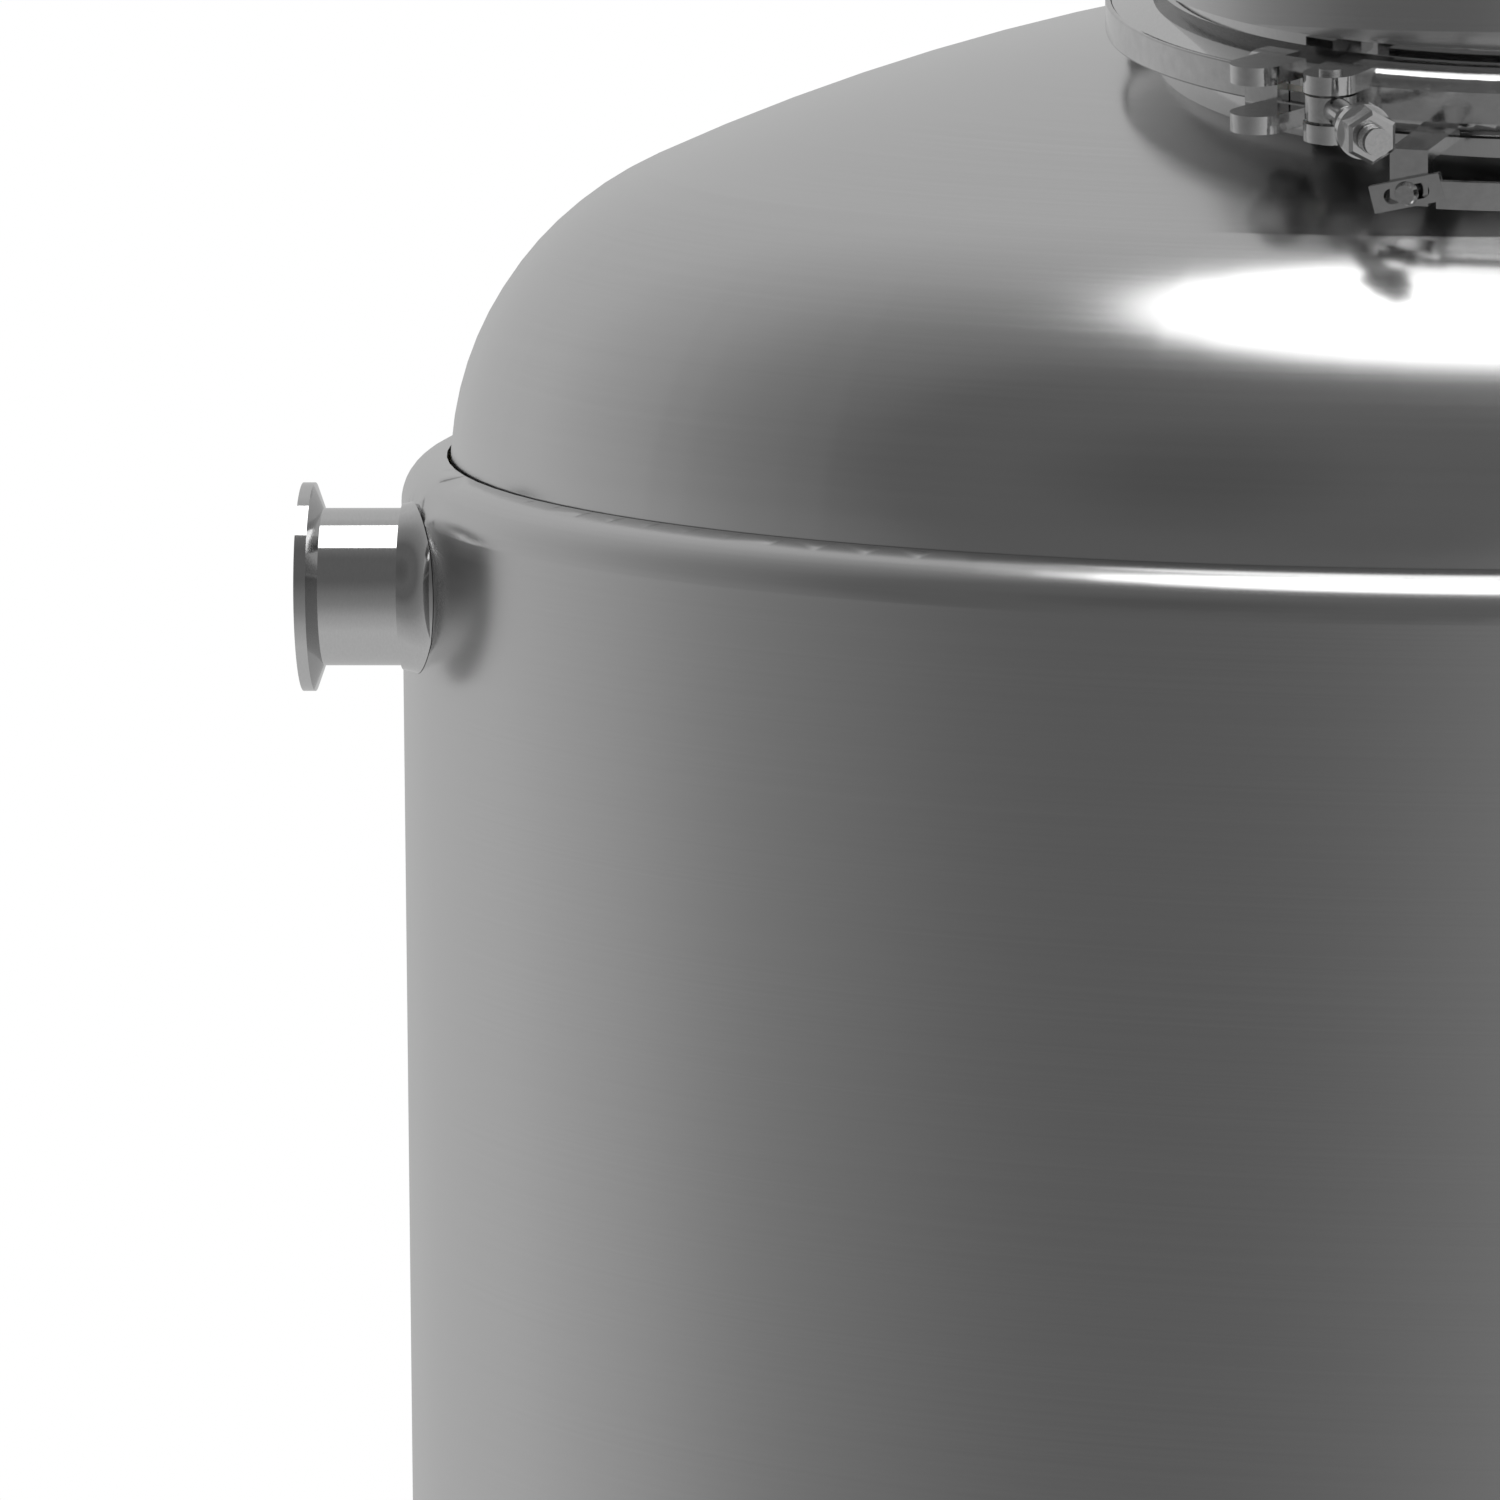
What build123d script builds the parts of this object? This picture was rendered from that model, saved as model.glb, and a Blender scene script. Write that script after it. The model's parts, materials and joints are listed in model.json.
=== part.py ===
"""Jacketed brew kettle: domed vessel on four legs, clamped vapour stack, drain valve and heating element.

Origin: on the floor, on the vessel's axis. +Z up, -Y is the front, millimetres.
"""
import os
from math import asin, atan2, cos, degrees, radians, sin, sqrt, tan

from build123d import *

os.makedirs("parts", exist_ok=True)

# ---------------------------------------------------------------- driving dimensions
# Vessel and its heads
shell_od = 550.0
shell_wall = 2.0
shell_height = 500.0
crown_radius = 553.0
top_knuckle = 82.0
bottom_knuckle = 60.0
# Cladding round the vessel
insulation_thickness = 10.2
jacket_wall = 1.5
shoulder_gap = 0.8
jacket_floor_gap = 10.0
# Stand
floor_to_jacket = 340.0
leg_circle = 430.0
leg_od = 42.4
leg_wall = 2.0
foot_lift = 46.0
# Sanitary fittings: tube, flange and rim of each size
tube_1_5, flange_1_5 = 38.1, 50.5
tube_2, flange_2 = 50.8, 64.0
tube_4, flange_4 = 101.6, 119.0
tube_8, flange_8 = 196.0, 217.4
tube_wall = 1.65
rim = 2.85
gasket = 1.6
back_taper = 20.0
# Side port, near the top of the left wall
port_offset = 66.0
port_drop = 27.7
port_reach = 305.9
port_collar_reach = 281.7
# Neck and vapour stack, in front of the axis and leaning forward
neck_forward = 95.0
neck_tilt = 8.0
neck_drop = 0.9
stack_od = 203.2
stack_wall = 1.5
stack_height = 176.0
stack_cone_height = 62.0
stack_outlet_length = 24.0
# Heating element port, low on the back wall
element_rise = 62.0
element_reach = 400.0
rod_dia = 8.0
rod_spacing = 24.0
# Drain
drain_reach = 34.0
valve_half = 26.0
valve_flange_od = 74.0
# Hinged clamps: wall behind the rims, lip over them, and the neck clamp's angles round the neck
jaw_wall = 4.5
jaw_lip = 2.4
jaw_round = 4.2
band_wall = 1.2
neck_hinge = 47.5
neck_front_end = 243.0
neck_rear_end = 233.5
neck_band = (165.0, 228.5)
neck_bolt_turn = 138.0
neck_shank_r = 3.2
# Floor anchor holes in the levelling feet
anchor_r = 4.5
anchor_offset = 21.0
# Clearances
running = 0.05
loose = 0.3

# ---------------------------------------------------------------- derived levels and radii
shell_r = shell_od / 2
jacket_r = shell_r + insulation_thickness + jacket_wall + loose
jacket_z = floor_to_jacket
bottom_crown = crown_radius
bottom_depth = bottom_crown - sqrt(
    (bottom_crown - bottom_knuckle) ** 2 - (shell_r - bottom_knuckle) ** 2
)
bottom_tangent = jacket_z + jacket_wall + jacket_floor_gap + bottom_depth
top_tangent = bottom_tangent + shell_height
seam_drop = 4.5
seam_z = top_tangent + seam_drop
crown_centre_z = top_tangent - sqrt(
    (crown_radius - top_knuckle) ** 2 - (shell_r - top_knuckle) ** 2
)
port_z = seam_z - port_drop
element_z = bottom_tangent + element_rise
half_gasket = gasket / 2


# ---------------------------------------------------------------- helpers
def finish(part, name):
    """Label a finished piece and write it as one STEP file."""
    part.part.label = name
    export_step(part.part, f"parts/{name}.step")


def flange_profile(tube_od, flange_od, length, wall=tube_wall):
    """Clamp ferrule in (radius, distance behind the mating face) up to its weld end."""
    r_tube = tube_od / 2
    r_flange = flange_od / 2
    taper = (r_flange - r_tube) * tan(radians(back_taper))
    return [
        (r_tube - wall, 0),
        (r_flange, 0),
        (r_flange, rim),
        (r_tube, rim + taper),
        (r_tube, length),
        (r_tube - wall, length),
    ]


def section_plane(base, angle=0.0):
    """Plane through the base plane's axis: local x is radial, local y is along the axis."""
    radial = base.x_dir * cos(radians(angle)) + base.y_dir * sin(radians(angle))
    return Plane(origin=base.origin, x_dir=radial, z_dir=radial.cross(base.z_dir))


def polar(radius, angle):
    """Point at a radius and an angle in degrees in a plane's own x and y."""
    return radius * cos(radians(angle)), radius * sin(radians(angle))


def ferrule(base, tube_od, flange_od, length, name):
    """Turned clamp ferrule: mating face half a gasket from the base plane, pointing along -z of it."""
    with BuildPart() as piece:
        with BuildSketch(section_plane(base)):
            outline = flange_profile(tube_od, flange_od, length)
            Polygon(*[(r, -half_gasket - d) for r, d in outline], align=None)
        revolve(axis=Axis(base.origin, base.z_dir))
    if name:
        finish(piece, name)
    return piece


def gasket_ring(base, tube_od, flange_od, name):
    """Flat seal with a rounded bead between two ferrules."""
    with BuildPart() as seal:
        with BuildSketch(base):
            Circle(flange_od / 2 - 0.4)
            Circle(tube_od / 2 - tube_wall, mode=Mode.SUBTRACT)
        extrude(amount=half_gasket, both=True)
    finish(seal, name)
    return seal


def dish(radius, crown, knuckle, wall, tangent_z, up=1):
    """Torispherical head: crown arc, knuckle arc and the same two arcs a wall further in."""
    centre = tangent_z - up * sqrt((crown - knuckle) ** 2 - (radius - knuckle) ** 2)
    split_angle = asin((radius - knuckle) / (crown - knuckle))

    def arcs(inset):
        crown_r = crown - inset
        knuckle_r = knuckle - inset
        half_turn = (split_angle + radians(90)) / 2

        def on_crown(angle):
            return crown_r * sin(angle), centre + up * crown_r * cos(angle)

        def on_knuckle(angle):
            return radius - knuckle + knuckle_r * sin(angle), tangent_z + up * knuckle_r * cos(angle)

        return (
            (on_crown(0), on_crown(split_angle / 2), on_crown(split_angle)),
            (on_crown(split_angle), on_knuckle(half_turn), on_knuckle(radians(90))),
        )

    outer = arcs(0)
    inner = arcs(wall)
    with BuildPart() as head:
        with BuildSketch(Plane.XZ):
            with BuildLine():
                ThreePointArc(*outer[0])
                ThreePointArc(*outer[1])
                Line(outer[1][2], inner[1][2])
                ThreePointArc(*reversed(inner[1]))
                ThreePointArc(*reversed(inner[0]))
                Line(inner[0][0], outer[0][0])
            make_face()
        revolve(axis=Axis.Z)
    return head


# ---------------------------------------------------------------- planes of the fittings
port_plane = Plane(
    origin=(-port_reach - half_gasket, -port_offset, port_z), x_dir=(0, 1, 0), z_dir=(-1, 0, 0),
)
tilt = radians(neck_tilt)
neck_normal = Vector(0, -sin(tilt), cos(tilt))
neck_foot = Vector(0, -neck_forward, crown_centre_z + sqrt(crown_radius**2 - neck_forward**2))
neck_mate = neck_foot + neck_normal * (rim + half_gasket - neck_drop)
neck_plane = Plane(origin=neck_mate, x_dir=(1, 0, 0), z_dir=neck_normal)
drain_plane = Plane(origin=(0, 0, jacket_z - drain_reach), x_dir=(1, 0, 0), z_dir=(0, 0, -1))
element_plane = Plane(origin=(0, jacket_r + 34.0, element_z), x_dir=(1, 0, 0), z_dir=(0, 1, 0))


# ---------------------------------------------------------------- vessel
top_dish = dish(shell_r, crown_radius, top_knuckle, shell_wall, top_tangent)
with BuildPart() as top_head:
    add(top_dish.part)
    with BuildSketch(neck_plane.offset(-20)):
        Circle(tube_8 / 2)
    extrude(amount=40, both=True, mode=Mode.SUBTRACT)
finish(top_head, "top_head")

with BuildPart() as vessel_shell:
    with BuildSketch(Plane.XY.offset(bottom_tangent)):
        Circle(shell_r)
        Circle(shell_r - shell_wall, mode=Mode.SUBTRACT)
    extrude(amount=shell_height)
    with BuildSketch(Plane.YZ.offset(-shell_r)):
        with Locations((-port_offset, port_z)):
            Circle(tube_1_5 / 2)
    extrude(amount=60, both=True, mode=Mode.SUBTRACT)
    with BuildSketch(Plane.XZ.offset(-shell_r)):
        with Locations((0, element_z)):
            Circle(tube_2 / 2)
    extrude(amount=30, both=True, mode=Mode.SUBTRACT)
finish(vessel_shell, "vessel_shell")

bottom_dish = dish(shell_r, bottom_crown, bottom_knuckle, shell_wall, bottom_tangent, up=-1)
with BuildPart() as bottom_head:
    add(bottom_dish.part)
    with BuildSketch(Plane.XY.offset(jacket_z)):
        Circle(tube_1_5 / 2)
    extrude(amount=40, both=True, mode=Mode.SUBTRACT)
finish(bottom_head, "bottom_head")

# ---------------------------------------------------------------- cladding
insulation_bottom = bottom_tangent
insulation_top = seam_z - 18.0
with BuildPart() as insulation:
    with BuildSketch(Plane.XY.offset(insulation_bottom)):
        Circle(shell_r + insulation_thickness)
        Circle(shell_r + 0.1, mode=Mode.SUBTRACT)
    extrude(amount=insulation_top - insulation_bottom)
    with BuildSketch(Plane.YZ.offset(-shell_r)):
        with Locations((-port_offset, port_z)):
            Circle(tube_1_5 / 2 + 1)
    extrude(amount=60, both=True, mode=Mode.SUBTRACT)
    with BuildSketch(Plane.XZ.offset(-shell_r)):
        with Locations((0, element_z)):
            Circle(tube_2 / 2 + 1)
    extrude(amount=30, both=True, mode=Mode.SUBTRACT)
finish(insulation, "insulation")

shoulder_r = jacket_r - shell_r - shoulder_gap
lip_r = shell_r + shoulder_gap
with BuildPart() as jacket:
    with BuildSketch(Plane.XZ):
        with BuildLine():
            arc_z = seam_z - shoulder_r
            half = sin(radians(45))
            thin = shoulder_r - jacket_wall
            Line((jacket_r, jacket_z), (jacket_r, arc_z))
            ThreePointArc(
                (jacket_r, arc_z),
                (lip_r + shoulder_r * half, arc_z + shoulder_r * half),
                (lip_r, seam_z),
            )
            Line((lip_r, seam_z), (lip_r, seam_z - jacket_wall))
            ThreePointArc(
                (lip_r, seam_z - jacket_wall),
                (lip_r + thin * half, arc_z + thin * half),
                (jacket_r - jacket_wall, arc_z),
            )
            Line((jacket_r - jacket_wall, arc_z), (jacket_r - jacket_wall, jacket_z))
            Line((jacket_r - jacket_wall, jacket_z), (jacket_r, jacket_z))
        make_face()
    revolve(axis=Axis.Z)
    with BuildSketch(Plane.YZ.offset(-jacket_r)):
        with Locations((-port_offset, port_z)):
            Circle(tube_1_5 / 2 + 1)
    extrude(amount=60, both=True, mode=Mode.SUBTRACT)
    with BuildSketch(Plane.XZ.offset(-jacket_r)):
        with Locations((0, element_z)):
            Circle(tube_2 / 2 + 1)
    extrude(amount=30, both=True, mode=Mode.SUBTRACT)
finish(jacket, "jacket")

floor_r = jacket_r - jacket_wall - 0.2
turn_up = 18.0
with BuildPart() as jacket_floor:
    with BuildSketch(Plane.XY.offset(jacket_z)):
        Circle(floor_r)
        Circle(tube_1_5 / 2 + 1, mode=Mode.SUBTRACT)
    extrude(amount=jacket_wall)
    with BuildSketch(Plane.XY.offset(jacket_z + jacket_wall)):
        Circle(floor_r)
        Circle(floor_r - jacket_wall, mode=Mode.SUBTRACT)
    extrude(amount=turn_up)
finish(jacket_floor, "jacket_floor")

# Support ring that carries the vessel's weight from its knuckle to the jacket floor
ring_r = leg_circle / 2
ring_wall = 3.0
with BuildPart() as support_ring:
    with BuildSketch(Plane.XY.offset(jacket_z + jacket_wall)):
        Circle(ring_r + ring_wall / 2)
        Circle(ring_r - ring_wall / 2, mode=Mode.SUBTRACT)
    extrude(amount=bottom_depth)
    with Locations((0, 0, bottom_tangent)):
        Cylinder(shell_r + 20, 200, align=(Align.CENTER, Align.CENTER, Align.MIN), mode=Mode.SUBTRACT)
    with Locations(
        (0, 0, bottom_tangent + sqrt((bottom_crown - bottom_knuckle) ** 2 - (shell_r - bottom_knuckle) ** 2)),
    ):
        Sphere(bottom_crown, mode=Mode.SUBTRACT)
finish(support_ring, "support_ring")

# ---------------------------------------------------------------- legs and levelling feet
leg_pad_r = 38.0
leg_pad_thickness = 4.0
bush_height = 22.0
stem_dia = 16.0
foot_r = 34.0
foot_height = 12.0
nut_height = 9.0
for index in range(4):
    x, y = polar(leg_circle / 2, 45 + 90 * index)
    leg_bottom = foot_lift + nut_height
    with BuildPart() as leg:
        with BuildSketch(Plane.XY.offset(leg_bottom)):
            with Locations((x, y)):
                Circle(leg_od / 2)
                Circle(leg_od / 2 - leg_wall, mode=Mode.SUBTRACT)
        extrude(amount=jacket_z - leg_pad_thickness - leg_bottom)
        with BuildSketch(Plane.XY.offset(jacket_z - leg_pad_thickness)):
            with Locations((x, y)):
                Circle(leg_pad_r)
        extrude(amount=leg_pad_thickness)
        with BuildSketch(Plane.XY.offset(leg_bottom)):
            with Locations((x, y)):
                Circle(leg_od / 2 - leg_wall)
                Circle(stem_dia / 2 + running, mode=Mode.SUBTRACT)
        extrude(amount=bush_height)
    finish(leg, f"leg_{index + 1}")
    with BuildPart() as foot:
        with BuildSketch(Plane.XY):
            with Locations((x, y)):
                Circle(foot_r)
        extrude(amount=foot_height, taper=22)
        with BuildSketch(Plane.XY.offset(foot_height - 1)):
            with Locations((x, y)):
                Circle(stem_dia / 2 + 3)
        extrude(amount=9)
        with BuildSketch(Plane.XY.offset(foot_height)):
            with Locations((x, y)):
                Circle(stem_dia / 2)
        extrude(amount=leg_bottom + bush_height - 2 - foot_height)
        with BuildSketch(Plane.XY.offset(leg_bottom - nut_height - 0.4)):
            with Locations((x, y)):
                RegularPolygon(12.0, 6, major_radius=False)
        extrude(amount=nut_height)
        with BuildSketch(Plane.XY):
            with Locations(polar(leg_circle / 2 + anchor_offset, 45 + 90 * index)):
                Circle(anchor_r)
        extrude(amount=foot_height, mode=Mode.SUBTRACT)
    finish(foot, f"foot_{index + 1}")

# ---------------------------------------------------------------- side port
port_tube_length = port_reach - sqrt(shell_r**2 - port_offset**2) + 46.0
with BuildPart() as side_port:
    with BuildSketch(section_plane(port_plane)):
        outline = flange_profile(tube_1_5, flange_1_5, port_tube_length)
        Polygon(*[(r, -half_gasket - d) for r, d in outline], align=None)
    revolve(axis=Axis(port_plane.origin, port_plane.z_dir))
    with Locations((0, 0, port_z)):
        Cylinder(shell_r - shell_wall, 120, mode=Mode.SUBTRACT)
finish(side_port, "side_port_ferrule")

collar_r = 25.0
collar_rise = 8.5
collar_top = port_collar_reach - port_reach - half_gasket
with BuildPart() as collar:
    with BuildSketch(section_plane(port_plane)):
        with BuildLine():
            near = tube_1_5 / 2 + loose / 2
            lip = collar_top - collar_rise
            root = lip - 30
            Line((near, collar_top), (near + 0.9, collar_top))
            ThreePointArc((near + 0.9, collar_top), (near + 2.6, collar_top - 4.6), (collar_r, lip))
            Line((collar_r, lip), (collar_r, root))
            Line((collar_r, root), (near, root))
            Line((near, root), (near, collar_top))
        make_face()
    revolve(axis=Axis(port_plane.origin, port_plane.z_dir))
    with Locations((0, 0, port_z)):
        Cylinder(jacket_r + 0.1, 160, mode=Mode.SUBTRACT)
finish(collar, "side_port_collar")

# ---------------------------------------------------------------- neck
with BuildPart() as neck_ferrule:
    with BuildSketch(section_plane(neck_plane)):
        outline = flange_profile(tube_8, flange_8, 46, wall=2.0)
        Polygon(*[(r, -half_gasket - d) for r, d in outline], align=None)
    revolve(axis=Axis(neck_plane.origin, neck_plane.z_dir))
    with Locations((0, 0, crown_centre_z)):
        Sphere(crown_radius - shell_wall, mode=Mode.SUBTRACT)
finish(neck_ferrule, "neck_ferrule")
gasket_ring(neck_plane, tube_8, flange_8, "neck_gasket")

# ---------------------------------------------------------------- vapour stack
stack_plane = Plane(origin=neck_plane.origin, x_dir=neck_plane.x_dir, z_dir=-neck_normal)
stack_neck = 10.0
mitre = neck_plane.offset(half_gasket + stack_neck)
ferrule(stack_plane, tube_8, flange_8, stack_neck, "stack_ferrule")

stack_r = stack_od / 2
stack_y = -neck_forward
stack_bowl_z = neck_foot.Z + 4.0
stack_top_z = stack_bowl_z + stack_height
bowl_height = 12.0
bowl_inset = 5.0
stack_axis_plane = Plane(origin=(0, stack_y, 0), x_dir=(1, 0, 0), z_dir=(0, -1, 0))


def stack_form(inset, floor_plane, top_z):
    """Vertical cylinder with a rounded foot, cut off by the leaning mitre plane."""
    with BuildPart() as form:
        with BuildSketch(stack_axis_plane):
            with BuildLine():
                radius = stack_r - inset
                low = stack_bowl_z - 40
                Line((0, low), (radius - bowl_inset - 2, low))
                Line((radius - bowl_inset - 2, low), (radius - bowl_inset, stack_bowl_z - bowl_height))
                ThreePointArc(
                    (radius - bowl_inset, stack_bowl_z - bowl_height),
                    (radius - bowl_inset * 0.22, stack_bowl_z - bowl_height * 0.42),
                    (radius, stack_bowl_z),
                )
                Line((radius, stack_bowl_z), (radius, top_z))
                Line((radius, top_z), (0, top_z))
                Line((0, top_z), (0, low))
            make_face()
        revolve(axis=Axis((0, stack_y, 0), (0, 0, 1)))
        split(bisect_by=floor_plane, keep=Keep.TOP)
    return form


stack_outside = stack_form(0, mitre, stack_top_z)
stack_core = stack_form(stack_wall, mitre.offset(2.0), stack_top_z)
with BuildPart() as stack_shell:
    add(stack_outside.part)
    add(stack_core.part, mode=Mode.SUBTRACT)
    with BuildSketch(mitre):
        Circle(tube_8 / 2 - tube_wall)
    extrude(amount=3, both=True, mode=Mode.SUBTRACT)
finish(stack_shell, "stack_shell")

cone_top_z = stack_top_z + stack_cone_height
with BuildPart() as stack_cone:
    with BuildSketch(stack_axis_plane):
        Polygon(
            (stack_r - stack_wall, stack_top_z),
            (stack_r, stack_top_z),
            (tube_4 / 2, cone_top_z),
            (tube_4 / 2 - stack_wall, cone_top_z),
            align=None,
        )
    revolve(axis=Axis((0, stack_y, 0), (0, 0, 1)))
finish(stack_cone, "stack_cone")

outlet_face_z = cone_top_z + stack_outlet_length
outlet_plane = Plane(origin=(0, stack_y, outlet_face_z + half_gasket), x_dir=(1, 0, 0), z_dir=(0, 0, 1))
ferrule(outlet_plane, tube_4, flange_4, stack_outlet_length, "stack_outlet_ferrule")


# ---------------------------------------------------------------- hinged clamps
def clamp_sizes(tube_od, flange_od, leg):
    """Radii and half heights of a clamp jaw that grips two ferrules and their gasket."""
    flange_r = flange_od / 2
    rim_top = half_gasket + rim
    groove_in = rim_top + leg * tan(radians(back_taper)) + loose
    return {
        "inner_r": flange_r - leg,
        "outer_r": flange_r + jaw_wall,
        "groove_r": flange_r + loose,
        "groove_out": rim_top + loose,
        "groove_in": groove_in,
        "half": groove_in + jaw_lip,
    }


def ring_sector(base, start, sweep, low, high, half, round_r):
    """Part of a ring round the base plane's axis, its outer edges rounded."""
    with BuildPart() as sector:
        with BuildSketch(section_plane(base, start)):
            with BuildLine():
                flat = high - round_r
                shoulder = half - round_r
                bulge = round_r * sin(radians(45))
                Polyline((flat, half), (low, half), (low, -half), (flat, -half))
                ThreePointArc((flat, -half), (flat + bulge, -shoulder - bulge), (high, -shoulder))
                Line((high, -shoulder), (high, shoulder))
                ThreePointArc((high, shoulder), (flat + bulge, shoulder + bulge), (flat, half))
            make_face()
        revolve(axis=Axis(base.origin, base.z_dir), revolution_arc=sweep)
    return sector


def grip_form(base, s):
    """Space that two clamped ferrules need inside the jaws."""
    reach = s["half"] + 4.0
    with BuildPart() as form:
        with BuildSketch(section_plane(base)):
            Polygon(
                (0, reach), (s["inner_r"], reach), (s["inner_r"], s["groove_in"]), (
                    s["groove_r"], s["groove_out"],
                ),
                (s["groove_r"], -s["groove_out"]), (s["inner_r"], -s["groove_in"]), (s["inner_r"], -reach), (
                    0, -reach,
                ),
                align=None,
            )
        revolve(axis=Axis(base.origin, base.z_dir))
    return form


def link(base, level, thickness, start, end, width):
    """Round-ended plate between two points, from one level up by its thickness."""
    run = Vector(end[0] - start[0], end[1] - start[1], 0)
    middle = ((start[0] + end[0]) / 2, (start[1] + end[1]) / 2, 0)
    with BuildPart() as form:
        with BuildSketch(base.offset(level)):
            with Locations(Location(middle, (0, 0, degrees(atan2(run.Y, run.X))))):
                SlotCenterToCenter(run.length, width)
        extrude(amount=thickness)
    return form


def lug(base, level, thickness, root_r, tip_r, angle, width):
    """Round-ended radial lug, from one level up by its thickness."""
    middle = polar((root_r + tip_r) / 2, angle)
    with BuildPart() as form:
        with BuildSketch(base.offset(level)):
            with Locations(Location((middle[0], middle[1], 0), (0, 0, angle))):
                Rectangle(tip_r - root_r, width)
            with Locations(polar(tip_r, angle)):
                Circle(width / 2)
        extrude(amount=thickness)
    return form


def rod(base, point, radius, half_length):
    """Round rod or drill along the base plane's axis, centred on the plane."""
    with BuildPart() as form:
        with BuildSketch(base):
            with Locations(point):
                Circle(radius)
        extrude(amount=half_length, both=True)
    return form


def wing_form(plane, shank_r, length):
    """Wing nut: a tapered boss whose two wings start clear of the jaws."""
    with BuildPart() as form:
        with BuildSketch(plane):
            Circle(shank_r * 2.0)
        extrude(amount=length, taper=4)
        with BuildSketch(plane.offset(shank_r * 2.1)):
            SlotOverall(shank_r * 8.0, shank_r)
        extrude(amount=length - shank_r)
    return form


def hex_form(plane, shank_r, length):
    """Hexagon nut on a round flange."""
    with BuildPart() as form:
        with BuildSketch(plane):
            Circle(shank_r * 2.0)
        extrude(amount=length * 0.25)
        with BuildSketch(plane.offset(length * 0.25)):
            RegularPolygon(shank_r * 1.7, 6, major_radius=False)
        extrude(amount=length * 0.75)
        chamfer(form.edges().sort_by(Axis(plane.origin, plane.z_dir))[-6:], 0.8)
    return form


def build_clamp(base, tube_od, flange_od, leg, angles, shank_r, nut_form, bolt_turn=0.0, band=None):
    """Two jaws, hinge pin, swing bolt with its pivot pin, and a nut.

    angles: (hinge, end of the front jaw, end of the rear jaw), in the base plane.
    bolt_turn: how far the bolt is turned out of the rear jaw's fork, 0 when it is closed.
    band: (start, end) of the stretch where the rear jaw is only a thin band round the rims.
    """
    s = clamp_sizes(tube_od, flange_od, leg)
    hinge_angle, front_end, rear_end = angles
    pin_r = shank_r * 0.85
    eye_r = shank_r * 2.0
    slot = shank_r + 0.35
    ear = s["half"] - slot
    pivot_r = s["outer_r"] + eye_r + 1.0
    hinge = polar(s["outer_r"] + pin_r + 1.2, hinge_angle)
    pivot = polar(pivot_r, front_end)
    knuckle = s["half"] / 3
    knuckle_r = pin_r + 2.2
    gap = degrees((knuckle_r + 1.5) / s["outer_r"])
    bite = gap + degrees(6.0 / s["outer_r"])
    grip = grip_form(base, s)

    def jaw(stretches, end_angle, side, knuckle_levels, bores):
        sectors = [
            ring_sector(base, start, (end - start) % 360, low, high, half, round_r)
            for start, end, low, high, half, round_r in stretches
        ]
        knuckles = [
            link(
                base, level, thickness, hinge, polar(s["outer_r"] - 2.0, hinge_angle + side * bite), 2 * knuckle_r,
            )
            for level, thickness in knuckle_levels
        ]
        ears = [
            lug(base, level, ear, s["groove_r"] + 1.5, pivot_r, end_angle, 2 * eye_r)
            for level in (slot, -slot - ear)
        ]
        with BuildPart() as piece:
            for form in sectors + knuckles + ears:
                add(form.part)
            for form in bores:
                add(form.part, mode=Mode.SUBTRACT)
        return piece

    full = (s["inner_r"], s["outer_r"], s["half"], jaw_round)
    thin = (s["groove_r"], s["groove_r"] + band_wall, s["groove_out"], 0.5)
    front_stretches = [(front_end, hinge_angle - gap, *full)]
    rear_stretches = [(hinge_angle + gap, rear_end, *full)]
    if band:
        rear_stretches = [
            (hinge_angle + gap, band[0], *full),
            (band[0] - 1, band[1] + 1, *thin),
            (band[1], rear_end, *full),
        ]
    hinge_bore = rod(base, hinge, pin_r + running, s["half"] + 2)
    pivot_bore = rod(base, pivot, pin_r, s["half"] + 2)
    middle_knuckle = [(-knuckle + 0.1, 2 * knuckle - 0.2)]
    outer_knuckles = [(knuckle + 0.1, 2 * knuckle - 0.1), (-s["half"], 2 * knuckle - 0.1)]
    front = jaw(front_stretches, front_end, -1, middle_knuckle, [grip, hinge_bore, pivot_bore])
    rear = jaw(rear_stretches, rear_end, 1, outer_knuckles, [grip, hinge_bore])
    pin = rod(base, hinge, pin_r, s["half"] + 1.5)
    pivot_pin = rod(base, pivot, pin_r, s["half"] + 1.0)

    opening = (front_end - rear_end) % 360
    chord = 2 * pivot_r * sin(radians(opening / 2))
    turn = radians(front_end - opening / 2 - 90 + bolt_turn)
    heading = base.x_dir * cos(turn) + base.y_dir * sin(turn)
    pivot_point = base.from_local_coords(Vector(pivot[0], pivot[1], 0))
    nut_at = chord + eye_r + loose
    nut_length = shank_r * 3.0
    eye_half = shank_r - 0.3
    eye_bore = rod(base, pivot, pin_r + running, shank_r + 2)
    with BuildPart() as swing_bolt:
        with BuildSketch(base.offset(-eye_half)):
            with Locations(pivot):
                Circle(eye_r - 0.4)
        extrude(amount=2 * eye_half)
        with BuildSketch(Plane(origin=pivot_point, x_dir=base.z_dir, z_dir=heading)):
            Circle(shank_r)
        extrude(amount=nut_at + nut_length * 1.5)
        add(eye_bore.part, mode=Mode.SUBTRACT)
    nut_plane = Plane(origin=pivot_point + heading * nut_at, x_dir=base.z_dir, z_dir=heading)
    blank = nut_form(nut_plane, shank_r, nut_length)
    with BuildPart() as nut:
        add(blank.part)
        with BuildSketch(nut_plane):
            Circle(shank_r + running)
        extrude(amount=nut_length * 2, mode=Mode.SUBTRACT)
    s.update(hinge=base.from_local_coords(Vector(hinge[0], hinge[1], 0)), pivot=pivot_point, heading=heading)
    return s, front, rear, pin, pivot_pin, swing_bolt, nut


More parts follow.
